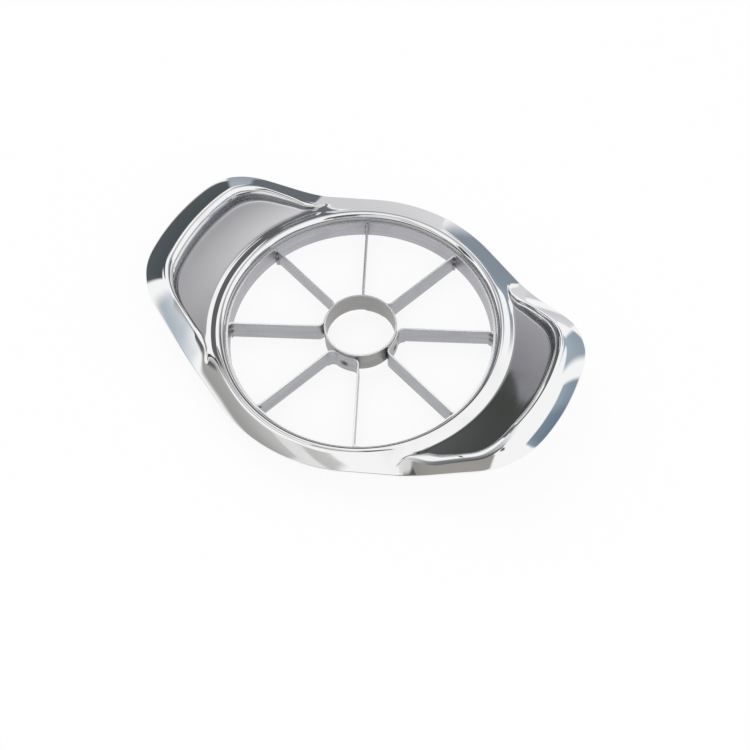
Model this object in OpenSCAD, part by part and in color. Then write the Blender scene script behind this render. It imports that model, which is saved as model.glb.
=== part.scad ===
// Hand-pressed apple slicer and corer of stainless steel: a pressed frame with two raised
// wing handles, a collar under its lip, a core ring, and four bent strips that make eight blades.
// The origin is on the axis of the rings, at the level of the lowest cutting edge. The long axis
// is X, and heights are given from the top of the lip round the opening.

/* [Frame] */
// Overall length over both wings
overall_length = 155; // [150:1:170]
// Overall width over the rim
overall_width = 113.4; // [111:0.2:117]
// Thickness of the pressed sheet
sheet = 0.8; // [0.6:0.05:0.9]
// Direction of the wing's side edge, as the angle of its normal from the long axis
side_angle = 65; // [62:1:68]
// Radius of the wing's corners in plan
corner_r = 26; // [23:1:29]
// Height of the wing's outer edge above the lip
wing_rise = 9.7; // [6:0.1:12]
// Height of the wing's crest above its outer edge
crest_rise = 2.8; // [2:0.1:3.4]
// Drop of the rim's outer edge below the lip, front and rear
rim_drop = 1.85; // [1:0.05:2.5]

/* [Lip] */
// Radius of the rolled lip at the top of the opening
lip_r = 2.5; // [2:0.1:3]
// Depth of the bottom of the frame's short skirt below the lip
skirt_depth = 6.5; // [5:0.1:8]
// Distance from the lip's outer edge to the bottom of the groove round it
groove_width = 1.1; // [0.9:0.05:1.3]
// Depth of that groove beside a wing
groove_depth = 0.5; // [0.3:0.05:0.6]
// Distance from the groove's bottom to the floor of a wing's recess
ridge_width = 3; // [2.6:0.1:3.4]
// Height of the ridge between the groove and the recess
ridge_height = 0.4; // [0.2:0.05:0.6]

/* [Wing recess] */
// Distance from the wing's end to its crest
end_flange = 7.7; // [7:0.1:8.4]
// Distance from the wing's side edge to its crest
side_flange = 6; // [5.5:0.1:6.3]
// Width of the wall between the crest and the recess floor at the wing's end
end_wall = 3.2; // [2.6:0.1:3.8]
// Width of the wall between the crest and the recess floor at the wing's side
side_wall = 2.1; // [1.8:0.1:2.4]
// Upward slope of the recess floor, in degrees
floor_slope = 24; // [20:1:27]

/* [Collar] */
// Inner diameter of the collar that the blades are welded to
collar_bore = 93; // [90:0.5:94]
// Wall of the collar
collar_wall = 0.8; // [0.6:0.05:1]
// Depth of the collar's top edge below the lip
collar_top = 3.3; // [3:0.1:4]
// Height of the collar
collar_height = 7.2; // [6:0.1:8]

/* [Core ring] */
// Inner diameter of the core ring
core_bore = 24.4; // [20:0.2:28]
// Wall of the core ring
core_wall = 0.6; // [0.5:0.05:0.8]
// Depth of the core ring's top edge below the lip
core_top = 2; // [1:0.1:3]
// Height of the core ring
core_height = 8.5; // [7:0.1:10]

/* [Blades] */
// Thickness of the blade strip
blade_thickness = 0.6; // [0.5:0.05:0.8]
// Height of the blade strip
blade_height = 8.5; // [8:0.1:9.5]
// Depth of the blades' top edge below the lip
blade_top = 3.5; // [3.4:0.1:4]
// Turn of the whole blade star against the frame's long axis, in degrees
star_turn = 5.1; // [0:0.1:10]
// Length of the welded tab at the end of each blade, along the collar
tab_length = 3.6; // [3:0.1:5]
// Radius of the strip's bends at mid-thickness
bend_r = 0.9; // [0.8:0.05:1.2]
// Height of the ground cutting edge
bevel_height = 1.6; // [1.2:0.1:2]
// Thickness left at the cutting edge
edge_thickness = 0.15; // [0.1:0.05:0.25]
// Diameter of a spot weld's dimple
weld_d = 1.8; // [1.4:0.1:2]
// Depth of a spot weld's dimple
weld_depth = 0.15; // [0.1:0.05:0.2]

/* [Hidden] */
// Overrun of every cut past the face that it opens
over = 0.5;
// Clearance between the frame's skirt and the collar inside it
fit_gap = 0.02;
// Lap between two stretches of a strip, so that they are one piece
lap = 0.06;

// Angle that the lip turns through, from its upright side to its outer edge
lip_turn = 78;
// Angles from the long axis between which the rim rises into a wing
rise_start = 48;
rise_end = 15;
// Angles from the long axis between which a wing's recess fades out
fade_start = 50;
fade_end = 41;
// Steps of the frame's stations along a wing, round its corner and along the rim
wing_step = 4;
corner_step = 2.4;
rim_step = 3.5;
corner_start = 12;
// Pieces that the lip's roll is drawn in
lip_steps = 5;

// Places up the recess wall, as shares of its width and of its height
wall_shares = [[0.3, 0.42], [0.65, 0.84]];
// Places down the flange, as shares of its width and of its fall
flange_shares = [[0.2, 0.06], [0.55, 0.42], [1, 1]];
// Places across the plain rim, as shares of its width
rim_shares = [0.07, 0.16, 0.25, 0.34, 0.42, 0.5, 0.58, 0.68, 0.82, 1];
// Height of the recess floor's inner edge, as a share of the ridge's height
floor_start_share = 0.2;

// Angle between the two blades of one strip, and the number of strips
blade_angle = 45;
strip_count = 4;
// Which way the end tabs turn on each strip, first and second blade
tab_turns = [[1, -1], [-1, 1], [1, 1], [-1, 1]];
// Heights of a tab's two spot welds, as shares of the strip's height
weld_shares = [0.27, 0.73];
// Angles of the core ring's spot welds from the middle of a strip
core_weld_angles = [-9, 9];

end_r = overall_length / 2;
side_r = overall_width / 2;
// Height of the lip's top above the lowest edge of the slicer
lip_z = max(blade_top + blade_height, collar_top + collar_height, core_top + core_height);
collar_r = collar_bore / 2 + collar_wall;
core_r = core_bore / 2 + core_wall;
// The skirt's flats just clear the collar
skirt_r = (collar_r + fit_gap) / cos(wing_step / 2);
lip_centre = [skirt_r + lip_r, -lip_r * sin(lip_turn)];
crease_r = lip_centre[0] - lip_r * cos(lip_turn);
groove_r = crease_r + groove_width;
floor_r = groove_r + ridge_width;
ridge_r = (groove_r + floor_r) / 2;

// Smooth step from 0 to 1
function ease(t) = let (u = min(1, max(0, t))) u * u * (3 - 2 * u);
function mix(a, b, t) = a + (b - a) * t;

// Radius at angle t of a wing-shaped outline with a round end, round corners and straight sides
function wing_r(end, side, corner, t) =
    let (lean = acos((side - corner) / (end - corner)),
         turn = side_angle - lean,
         away = end - corner,
         cx = away * cos(turn) + corner * cos(side_angle),
         cy = away * sin(turn) + corner * sin(side_angle),
         s = away * sin(t - turn))
    t <= turn ? end
    : t < atan2(cy, cx) ? away * cos(t - turn) + sqrt(corner * corner - s * s)
    : t < side_angle ? side / cos(side_angle - t)
    : side;

// How far the rim has risen into a wing, and how much of the recess there is, at angle t
function rise(t) = ease((rise_start - t) / (rise_start - rise_end));
function recess(t) = ease((fade_start - t) / (fade_start - fade_end));

function edge_r(t) = wing_r(end_r, side_r, corner_r, t);
function edge_z(t) = mix(-rim_drop, wing_rise, rise(t));
function crest_r(t) = wing_r(end_r - end_flange, side_r - side_flange, corner_r - side_flange, t);
function crest_z(t) = (wing_rise + crest_rise) * rise(t);
function bay_r(t) = max(floor_r, wing_r(end_r - end_flange - end_wall,
    side_r - side_flange - side_wall, corner_r - side_flange - side_wall, t));
function floor_z(r) = ridge_height * floor_start_share + (r - floor_r) * tan(floor_slope);

// The wing's section at angle t, from the groove to the outer edge
function wing_section(t) =
    let (bay = [bay_r(t), floor_z(bay_r(t))],
         crest = [max(crest_r(t), bay[0]), max(crest_z(t), bay[1])],
         edge = [edge_r(t), edge_z(t)])
    concat([[groove_r, -groove_depth], [ridge_r, ridge_height],
            [floor_r, floor_z(floor_r)], bay],
           [for (s = wall_shares) [mix(bay[0], crest[0], s[0]), mix(bay[1], crest[1], s[1])]],
           [crest],
           [for (s = flange_shares) [mix(crest[0], edge[0], s[0]), mix(crest[1], edge[1], s[1])]]);

// The plain rim's section at angle t, through the same number of points
function rim_section(t) =
    [for (s = rim_shares) [mix(crease_r, edge_r(t), s), mix(0, edge_z(t), s)]];

// The frame's upper skin at angle t: skirt, rolled lip, then wing and rim blended
function skin(t) =
    let (wing = wing_section(t), rim = rim_section(t), share = recess(t))
    concat([[skirt_r, -skirt_depth]],
           [for (i = [0:lip_steps]) let (a = lip_turn * i / lip_steps)
               lip_centre + lip_r * [-cos(a), sin(a)]],
           [for (i = [0:len(rim) - 1]) mix(rim[i], wing[i], share)]);

// Direction square to a section at its point i, away from the upper skin
function square_to(path, i) =
    let (d = path[min(i + 1, len(path) - 1)] - path[max(i - 1, 0)])
    [d[1], -d[0]] / norm(d);

// Closed section of the sheet at angle t
function sheet_section(t) =
    let (top = skin(t), n = len(top))
    concat(top, [for (i = [n - 1:-1:0]) top[i] + sheet * square_to(top, i)]);

// Station angles of one quarter, then of the full circle
quarter = concat([for (a = [0:wing_step:corner_start - wing_step]) a],
                 [for (a = [corner_start:corner_step:rise_start - corner_step]) a],
                 [for (a = [rise_start:rim_step:90 - rim_step]) a]);
half = concat(quarter, [90], [for (i = [len(quarter) - 1:-1:1]) 180 - quarter[i]]);
stations = concat(half, [for (a = half) a + 180]);
function from_long_axis(a) = let (b = a % 180) b > 90 ? 180 - b : b;

// Pressed sheet frame: rim, rolled lip, skirt and two raised wings with recesses
module frame() {
    sections = [for (a = stations) sheet_section(from_long_axis(a))];
    n = len(sections[0]);
    m = len(stations);
    points = [for (i = [0:m - 1]) for (p = sections[i])
        [p[0] * cos(stations[i]), p[0] * sin(stations[i]), p[1]]];
    faces = [for (i = [0:m - 1]) for (j = [0:n - 1])
        let (i2 = (i + 1) % m, j2 = (j + 1) % n,
             a = i * n + j, b = i * n + j2, c = i2 * n + j2, d = i2 * n + j)
        for (f = [[a, b, c], [a, c, d]]) f];
    color([0.80, 0.81, 0.83]) translate([0, 0, lip_z])
        polyhedron(points, faces, convexity = 10);
}

// Tube from its bore radius, wall, top depth below the lip and height
module tube(bore_r, wall, top, height) {
    translate([0, 0, lip_z - top - height]) difference() {
        cylinder(r = bore_r + wall, h = height, $fn = 180);
        translate([0, 0, -over]) cylinder(r = bore_r, h = height + 2 * over, $fn = 180);
    }
}

// Collar under the lip that the blades are welded to
module blade_band() {
    color([0.66, 0.66, 0.70]) tube(collar_bore / 2, collar_wall, collar_top, collar_height);
}

// Ring that cuts out the core
module core_ring() {
    color([0.68, 0.68, 0.71]) tube(core_bore / 2, core_wall, core_top, core_height);
}

// Flat part of a ring of mid-radius r and the strip's thickness, from angle a to angle b
module arc_strip(r, a, b) {
    reach = 2 * (r + blade_thickness);
    mid = (a + b) / 2;
    intersection() {
        difference() {
            circle(r = r + blade_thickness / 2, $fn = 120);
            circle(r = r - blade_thickness / 2, $fn = 120);
        }
        polygon([[0, 0], reach * [cos(a), sin(a)], reach * [cos(mid), sin(mid)],
                 reach * [cos(b), sin(b)]]);
    }
}

// Mid-radii of the strip where it lies on the core ring and on the collar
hub_r = core_r + blade_thickness / 2;
tab_r = collar_bore / 2 - blade_thickness / 2;
// Angle at which a bend meets the ring that it runs into, seen from the middle
hub_bend = asin(bend_r / (hub_r + bend_r));
tab_bend = asin(bend_r / (tab_r - bend_r));
// Where the straight blade starts and ends
blade_start = sqrt(pow(hub_r + bend_r, 2) - bend_r * bend_r);
blade_end = sqrt(pow(tab_r - bend_r, 2) - bend_r * bend_r);
function arc_angle(length, r) = length / r * 180 / PI;
function lap_angle(r) = arc_angle(lap, r);
tab_angle = arc_angle(tab_length, tab_r);

// Outline of one blade along +X, its bend at the core ring on the side hub_side, and its tab
module blade_outline(hub_side, tab_side) {
    translate([blade_start - lap, -blade_thickness / 2])
        square([blade_end - blade_start + 2 * lap, blade_thickness]);
    translate([blade_start, hub_side * bend_r])
        arc_strip(bend_r, hub_side * -90, hub_side * (-180 + hub_bend));
    translate([blade_end, tab_side * bend_r])
        arc_strip(bend_r, tab_side * -90, tab_side * tab_bend);
    arc_strip(tab_r, tab_side * (tab_bend - lap_angle(tab_r)),
        tab_side * (tab_bend + tab_angle));
}

// Wedge that grinds the cutting edge on one side of a blade along +X
module bevel_cut(side) {
    cut = blade_thickness - edge_thickness;
    face = blade_thickness / 2;
    slope = cut / bevel_height;
    translate([blade_start, 0, 0]) rotate([90, 0, 90])
        linear_extrude(blade_end - blade_start)
            polygon([[side * (face - cut - over * slope), -over],
                     [side * (face + over * slope), bevel_height + over],
                     [side * (face + over * slope), -over]]);
}

// Two shallow dimples of the spot welds at angle a, facing away from the weld
module weld_dimples(r, outward, a) {
    for (share = weld_shares)
        rotate(a) translate([r, 0, blade_height * share]) rotate([0, outward ? 90 : -90, 0])
            translate([0, 0, -weld_depth]) cylinder(d = weld_d, h = weld_depth + over, $fn = 32);
}

// One strip: tab, blade, seat on the core ring, blade, tab
module blade_strip(tab_turn) {
    half_angle = blade_angle / 2;
    seat_angle = half_angle - hub_bend + lap_angle(hub_r);
    color([0.70, 0.70, 0.74]) translate([0, 0, lip_z - blade_top - blade_height]) difference() {
        linear_extrude(blade_height) {
            rotate(-half_angle) blade_outline(1, tab_turn[0]);
            rotate(half_angle) blade_outline(-1, tab_turn[1]);
            arc_strip(hub_r, -seat_angle, seat_angle);
        }
        rotate(-half_angle) bevel_cut(1);
        rotate(half_angle) bevel_cut(-1);
        for (a = core_weld_angles) weld_dimples(hub_r + blade_thickness / 2, true, a);
        for (k = [0, 1])
            weld_dimples(tab_r - blade_thickness / 2, false,
                half_angle * (2 * k - 1) + tab_turn[k] * (tab_bend + tab_angle / 2));
    }
}

module blade_strip_at(i) {
    rotate(star_turn + 360 / strip_count * i) blade_strip(tab_turns[i]);
}
module blade_strip_right() { blade_strip_at(0); }
module blade_strip_rear() { blade_strip_at(1); }
module blade_strip_left() { blade_strip_at(2); }
module blade_strip_front() { blade_strip_at(3); }

frame();
blade_band();
core_ring();
blade_strip_right();
blade_strip_rear();
blade_strip_left();
blade_strip_front();
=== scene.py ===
"""Apple slicer and corer of stainless steel: surfaces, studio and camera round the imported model."""
import logging
import math
from dataclasses import dataclass
from enum import Enum, IntEnum
from functools import cached_property

import bpy
import numpy as np
from bpy.types import ID, Material, Node, NodeSocket, NodeTree, Object
from mathutils import Matrix, Vector


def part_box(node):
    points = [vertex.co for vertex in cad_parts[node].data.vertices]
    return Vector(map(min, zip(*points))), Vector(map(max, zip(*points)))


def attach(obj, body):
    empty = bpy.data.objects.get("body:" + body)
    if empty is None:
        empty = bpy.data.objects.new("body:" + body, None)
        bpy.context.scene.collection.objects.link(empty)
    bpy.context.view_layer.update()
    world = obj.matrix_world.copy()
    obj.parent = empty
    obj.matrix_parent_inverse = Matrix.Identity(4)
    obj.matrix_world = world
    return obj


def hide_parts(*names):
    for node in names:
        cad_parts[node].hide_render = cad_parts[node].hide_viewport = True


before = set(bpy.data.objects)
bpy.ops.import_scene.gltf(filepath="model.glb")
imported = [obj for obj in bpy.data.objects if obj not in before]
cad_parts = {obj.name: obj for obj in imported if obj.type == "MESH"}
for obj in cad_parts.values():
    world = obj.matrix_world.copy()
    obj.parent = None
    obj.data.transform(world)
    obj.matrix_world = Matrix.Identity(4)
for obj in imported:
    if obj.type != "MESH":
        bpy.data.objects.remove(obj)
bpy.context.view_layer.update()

logging.basicConfig(level=logging.INFO, format="%(name)s: %(message)s")
log = logging.getLogger("slicer")

MM = 0.001
BODY = "root"
PLAIN_VIEW = "Standard"
# Name of the mesh attribute that marks painted shade on the frame, where its finish is also rougher
SHADE_AND_DULL = "painted_shade_and_dull"
# How far the lip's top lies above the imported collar's top, in millimetres
LIP_OVER_COLLAR = 3.3

Colour = tuple[float, float, float]
Point = tuple[float, float, float]
Span = tuple[float, float]
WHITE: Colour = (1.0, 1.0, 1.0)


class Finish(Enum):
    """Names of the finishes in the record, which no piece built here takes."""

    FRAME = "polished_frame"
    BLADE = "satin_blade"


class Side(Enum):
    """The four strips, by the side that each one points to, a quarter turn apart."""

    RIGHT = "right"
    REAR = "rear"
    LEFT = "left"
    FRONT = "front"


class Form(Enum):
    """What a panel of the light tent is a patch of."""

    DOME = "dome"
    WALL = "wall"


class Corner(IntEnum):
    """Corners of the frame's section, from the lip outward, and the sheet's edge."""

    BROW = 0
    GROOVE = 1
    LAND = 2
    FLOOR = 3
    BAY = 4
    SHOULDER = 5
    PEAK = 6
    EDGE = 7


# Helpers for building node trees


class NodeSheet:
    """Adds and links nodes of one tree, with short calls."""

    def __init__(self, tree: NodeTree) -> None:
        """Start on an emptied tree of a material, a world or a group."""
        self.tree = tree
        tree.nodes.clear()

    def feed(self, target: NodeSocket, value: object) -> None:
        """Link or set one input.

        Args:
            target: the input socket.
            value: an output socket or a node's first one, a number, a vector or a colour.
        """
        if isinstance(value, Node):
            value = value.outputs[0]
        if isinstance(value, NodeSocket):
            self.tree.links.new(value, target)
        elif target.type == "RGBA":
            target.default_value = (*value, 1.0)
        else:
            target.default_value = value

    def add(self, kind: str, *values: object, **settings: object) -> Node:
        """Add a node.

        Args:
            kind: the node's type name.
            values: what its first inputs get, in order.
            settings: its plain attributes by name.

        Returns:
            The new node.
        """
        node = self.tree.nodes.new(kind)
        for name, value in settings.items():
            setattr(node, name, value)
        for socket, value in zip(node.inputs, values):
            self.feed(socket, value)
        return node

    def fill(self, node: Node, **values: object) -> Node:
        """Feed a node's inputs by name.

        Args:
            node: the node to feed.
            values: values or sockets by input name, with underscores for spaces.

        Returns:
            The node.
        """
        for name, value in values.items():
            self.feed(node.inputs[name.replace("_", " ")], value)
        return node

    def math(self, operation: str, *values: object) -> NodeSocket:
        """Add a Math node with these inputs and return its output."""
        return self.add("ShaderNodeMath", *values, operation=operation).outputs[0]

    def vector(self, operation: str, *values: object, out: int = 0) -> NodeSocket:
        """Add a Vector Math node with these inputs and return the chosen output."""
        return self.add("ShaderNodeVectorMath", *values, operation=operation).outputs[out]

    def remap(self, value: object, start: object, end: object,
              to: Span = (0.0, 1.0)) -> NodeSocket:
        """Map a value smoothly from its range to the results at the range's start and end."""
        return self.add("ShaderNodeMapRange", value, start, end, *to,
                        interpolation_type="SMOOTHSTEP").outputs[0]

    def blend(self, share: object, first: object, second: object) -> NodeSocket:
        """Mix two colours.

        Args:
            share: how much of the second colour shows.
            first: the first colour.
            second: the second colour.

        Returns:
            The mixed colour.
        """
        node = self.add("ShaderNodeMix", share, data_type="RGBA")
        # A mix node's colours come after its numbers and vectors
        self.feed(node.inputs[6], first)
        self.feed(node.inputs[7], second)
        return node.outputs[2]

    def noise(self, position: object, scale: object, detail: float = 2.0,
              roughness: float = 0.5) -> NodeSocket:
        """Add a noise texture read at a position and return its value, about 0.5 on average."""
        return self.fill(self.add("ShaderNodeTexNoise"), Vector=position, Scale=scale,
                         Detail=detail, Roughness=roughness).outputs[0]

    def place(self) -> NodeSocket:
        """Return the object's own coordinates, in metres."""
        return self.add("ShaderNodeTexCoord").outputs["Object"]

    def group(self, tree: NodeTree, **values: object) -> Node:
        """Place a shared effect's node group and feed its inputs by name."""
        return self.fill(self.add("ShaderNodeGroup", node_tree=tree), **values)

    def seen(self) -> NodeSocket:
        """Tell the rays that see a surface from those that only carry its light.

        Returns:
            1 for a ray from the eye, off metal or through glass, else 0.
        """
        path = self.add("ShaderNodeLightPath")
        eye, off, through = (path.outputs[f"Is {ray} Ray"]
                             for ray in ("Camera", "Glossy", "Transmission"))
        return self.math("MAXIMUM", eye, self.math("MAXIMUM", off, through))

    def metal(self, colour: object, roughness: object, relief: object, strength: float,
              depth: float) -> None:
        """Finish a material's tree as a metal with a fine relief.

        Args:
            colour: the metal's colour.
            roughness: its roughness.
            relief: the relief's height, from 0 to 1.
            strength: how much of the relief shows.
            depth: the relief's depth, in metres.
        """
        bump = self.fill(self.add("ShaderNodeBump"), Strength=strength, Distance=depth,
                         Height=relief)
        shader = self.fill(self.add("ShaderNodeBsdfPrincipled"), Base_Color=colour, Metallic=1.0,
                           Roughness=roughness, Normal=bump)
        self.add("ShaderNodeOutputMaterial", shader)


def new_material(name: str) -> tuple[Material, NodeSheet]:
    """Make a material with an empty tree.

    Args:
        name: the material's name.

    Returns:
        The material, and the sheet that its nodes go on.
    """
    material = bpy.data.materials.new(name)
    material.use_nodes = True
    return material, NodeSheet(material.node_tree)


def shaded(colour: Colour, factor: float) -> Colour:
    """Return a colour made darker or lighter by a factor."""
    return tuple(min(1.0, factor * value) for value in colour)


# Effects that more than one finish uses


class EffectSheet(NodeSheet):
    """The tree of a shared effect: a node group with named inputs and outputs."""

    def __init__(self, name: str, **inputs: object) -> None:
        """Start a group.

        Args:
            name: the group's name.
            inputs: the first value of each input, with underscores for spaces.
        """
        super().__init__(bpy.data.node_groups.new(name, "ShaderNodeTree"))
        for label, value in inputs.items():
            kind = "NodeSocketVector" if isinstance(value, tuple) else "NodeSocketFloat"
            self.tree.interface.new_socket(label.replace("_", " "), in_out="INPUT",
                                           socket_type=kind).default_value = value
        self.inputs = self.add("NodeGroupInput").outputs

    def give(self, **results: NodeSocket) -> NodeTree:
        """Put out the effect's results and finish the group.

        Args:
            results: the sockets to put out, by name.

        Returns:
            The finished group.
        """
        kinds = {"VALUE": "NodeSocketFloat", "RGBA": "NodeSocketColor"}
        for label, value in results.items():
            self.tree.interface.new_socket(label, in_out="OUTPUT", socket_type=kinds[value.type])
        self.fill(self.add("NodeGroupOutput"), **results)
        return self.tree


class Effects:
    """The shared effects, each built as a node group the first time that a finish asks for it."""

    @cached_property
    def grain(self) -> NodeTree:
        """Build the rolling grain of sheet and strip: fine level lines, broken along their length.

        Returns:
            A group that puts out the grain's value round 0.5.
        """
        sheet = EffectSheet("rolled grain", Along=60.0, Across=2600.0)
        along, across = sheet.inputs["Along"], sheet.inputs["Across"]
        stretch = sheet.add("ShaderNodeCombineXYZ", along, along, across)
        where = sheet.vector("MULTIPLY", sheet.place(), stretch)
        fine = sheet.noise(where, 1.0, detail=3.0, roughness=0.65)
        broad = sheet.noise(where, 0.13)
        fine_share = 0.65
        return sheet.give(Grain=sheet.math("ADD", sheet.math("MULTIPLY", fine, fine_share),
                                           sheet.math("MULTIPLY", broad, 1.0 - fine_share)))

    @cached_property
    def polish(self) -> NodeTree:
        """Build what a polishing wheel leaves: a faint ripple and hairlines.

        Returns:
            A group that puts out the ripple's height and the hairlines' value.
        """
        sheet = EffectSheet("wheel polish", Ripple_Scale=70.0, Line_Scale=900.0)
        place = sheet.place()
        hairline_stretch = (1.0, 0.06, 1.0)
        skew = sheet.vector("MULTIPLY", place, hairline_stretch)
        return sheet.give(
            Ripple=sheet.noise(place, sheet.inputs["Ripple Scale"], detail=1.0, roughness=0.4),
            Lines=sheet.noise(skew, sheet.inputs["Line Scale"], detail=4.0, roughness=0.7))

    @cached_property
    def haze(self) -> NodeTree:
        """Build soft cloudy patches left by handling.

        Returns:
            A group that puts out the patches as a mask.
        """
        sheet = EffectSheet("handling haze", Scale=45.0, Cover=0.5)
        cloud = sheet.noise(sheet.place(), sheet.inputs["Scale"], detail=3.0, roughness=0.6)
        bare, reach, softness = 0.82, 0.5, 0.18
        start = sheet.math("SUBTRACT", bare, sheet.math("MULTIPLY", sheet.inputs["Cover"], reach))
        return sheet.give(Haze=sheet.remap(cloud, start, sheet.math("ADD", start, softness)))

    @cached_property
    def painted_top_highlight(self) -> NodeTree:
        """Build a painted highlight on the faces along the top of a strip or ring, which look up.

        Returns:
            A group that puts out a mask that is 1 on faces that look up.
        """
        sheet = EffectSheet("painted top highlight", Start=0.45, End=0.8)
        normal = sheet.add("ShaderNodeNewGeometry").outputs["True Normal"]
        upward = sheet.add("ShaderNodeSeparateXYZ", normal).outputs[2]
        return sheet.give(Mask=sheet.remap(upward, sheet.inputs["Start"], sheet.inputs["End"]))

    @cached_property
    def weld_tint_and_shade(self) -> NodeTree:
        """Build the heat tint round a spot weld, which also serves as painted shade where the strips'
        tabs meet the collar.

        Returns:
            A group that puts out a colour and how much of it shows.
        """
        sheet = EffectSheet("weld tint and painted shade", Centre=(0.0, 0.0, 0.0), Radius=0.002)
        place = sheet.place()
        away = sheet.vector("DISTANCE", place, sheet.inputs["Centre"], out=1)
        ragged_scale, raggedness, tint_end, tint_fade = 900.0, 0.5, 1.0, 0.55
        ragged = sheet.math("SUBTRACT", sheet.noise(place, ragged_scale), 0.5)
        share = sheet.math("ADD", sheet.math("DIVIDE", away, sheet.inputs["Radius"]),
                           sheet.math("MULTIPLY", ragged, raggedness))
        ramp = sheet.add("ShaderNodeValToRGB", share)
        stops = ((0.0, (0.03, 0.025, 0.02)), (0.4, (0.09, 0.075, 0.06)),
                 (0.65, (0.24, 0.20, 0.16)), (0.85, (0.24, 0.26, 0.30)),
                 (1.0, (0.42, 0.44, 0.48)))
        elements = ramp.color_ramp.elements
        while len(elements) < len(stops):
            elements.new(0.5)
        for element, (position, colour) in zip(elements, stops):
            element.position = position
            element.color = (*colour, 1.0)
        return sheet.give(Tint=ramp.outputs[0], Mask=sheet.remap(share, tint_end, tint_fade))


# Finishes


@dataclass(frozen=True)
class MirrorSteel:
    """Stainless sheet polished to a mirror, with painted shade and a rougher finish where the frame
    marks it.
    """

    name: str = "mirror polished steel"
    colour: Colour = (0.90, 0.90, 0.905)
    roughness: float = 0.035
    haze_scale: float = 38.0
    haze_cover: float = 0.55
    haze_shade: float = 0.93
    haze_roughness: float = 0.05
    line_values: Span = (0.45, 0.8)
    line_roughness: Span = (0.0, 0.03)
    ripple_strength: float = 0.35
    ripple_height: float = 0.000010
    painted_shade_colour: Colour = (0.25, 0.26, 0.275)
    dull_roughness: float = 0.25

    def build(self, effects: Effects) -> Material:
        """Build the material.

        Args:
            effects: the shared effects.

        Returns:
            The finished material.
        """
        material, sheet = new_material(self.name)
        polish = sheet.group(effects.polish)
        haze = sheet.group(effects.haze, Scale=self.haze_scale, Cover=self.haze_cover)
        haze = haze.outputs["Haze"]
        shade_and_dull = sheet.add("ShaderNodeAttribute", attribute_name=SHADE_AND_DULL).outputs["Fac"]
        colour = sheet.blend(haze, self.colour, shaded(self.colour, self.haze_shade))
        # Painted shade darkens the mirror where the frame's mask is set
        colour = sheet.blend(shade_and_dull, colour, self.painted_shade_colour)
        rough = sheet.remap(polish.outputs["Lines"], *self.line_values, self.line_roughness)
        for mask, amount in ((haze, self.haze_roughness), (shade_and_dull, self.dull_roughness)):
            rough = sheet.math("ADD", rough, sheet.math("MULTIPLY", mask, amount))
        rough = sheet.math("ADD", rough, self.roughness)
        sheet.metal(colour, rough, polish.outputs["Ripple"], self.ripple_strength,
                    self.ripple_height)
        return material


@dataclass(frozen=True)
class SatinSteel:
    """Stainless sheet or strip left as rolled, with a painted highlight on its top faces."""

    name: str
    colour: Colour = (0.42, 0.425, 0.445)
    highlight_colour: Colour = (0.98, 0.98, 0.98)
    roughness: float = 0.36
    grain_values: Span = (0.3, 0.7)
    grain_shades: Span = (0.84, 1.14)
    rough_values: Span = (0.25, 0.75)
    grain_roughness: Span = (-0.05, 0.07)
    grain_strength: float = 0.5
    grain_depth: float = 0.000006
    haze_scale: float = 120.0
    haze_cover: float = 0.7
    haze_shade: float = 0.8
    haze_share: float = 0.35
    weld_and_shade_share: float = 0.9
    welds_and_shade: tuple[tuple[Point, float], ...] = ()

    def build(self, effects: Effects) -> Material:
        """Build the material.

        Args:
            effects: the shared effects.

        Returns:
            The finished material.
        """
        material, sheet = new_material(self.name)
        grain = sheet.group(effects.grain).outputs["Grain"]
        haze = sheet.group(effects.haze, Scale=self.haze_scale, Cover=self.haze_cover)
        edge = sheet.group(effects.painted_top_highlight).outputs["Mask"]
        dark, light = (shaded(self.colour, factor) for factor in self.grain_shades)
        colour = sheet.blend(sheet.remap(grain, *self.grain_values), dark, light)
        colour = sheet.blend(sheet.math("MULTIPLY", haze.outputs["Haze"], self.haze_share),
                             colour, shaded(self.colour, self.haze_shade))
        # Heat tint round the seat's weld, and painted shade at the tabs where they meet the collar
        for centre, radius in self.welds_and_shade:
            weld = sheet.group(effects.weld_tint_and_shade, Centre=centre, Radius=radius)
            share = sheet.math("MULTIPLY", weld.outputs["Mask"], self.weld_and_shade_share)
            colour = sheet.blend(share, colour, weld.outputs["Tint"])
        # Painted highlight on the faces that look up
        colour = sheet.blend(edge, colour, self.highlight_colour)
        rough = sheet.remap(grain, *self.rough_values, self.grain_roughness)
        rough = sheet.math("ADD", rough, self.roughness)
        sheet.metal(colour, rough, grain, self.grain_strength, self.grain_depth)
        return material


def dress_node(name: str, material: Material) -> None:
    """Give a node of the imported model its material.

    Args:
        name: the node's name.
        material: its finish.
    """
    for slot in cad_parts[name].material_slots:
        slot.material = material
    log.info("%s dressed in %s", name, material.name)


# Helpers for building shapes


def ease(share: np.ndarray) -> np.ndarray:
    """Return a smooth step from 0 to 1."""
    u = np.clip(share, 0.0, 1.0)
    return u * u * (3.0 - 2.0 * u)


def unit(vectors: np.ndarray) -> np.ndarray:
    """Return the vectors with their length brought to 1."""
    return vectors / np.linalg.norm(vectors, axis=-1, keepdims=True)


def polar(radius: float, degrees: float) -> tuple[float, float]:
    """Return the place at a radius from the middle and an angle from the long axis."""
    return radius * math.cos(math.radians(degrees)), radius * math.sin(math.radians(degrees))


def turned(points: np.ndarray, degrees: float) -> np.ndarray:
    """Return points of the plan turned round the middle."""
    cos, sin = polar(1.0, degrees)
    return points @ np.array([[cos, -sin], [sin, cos]]).T


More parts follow.
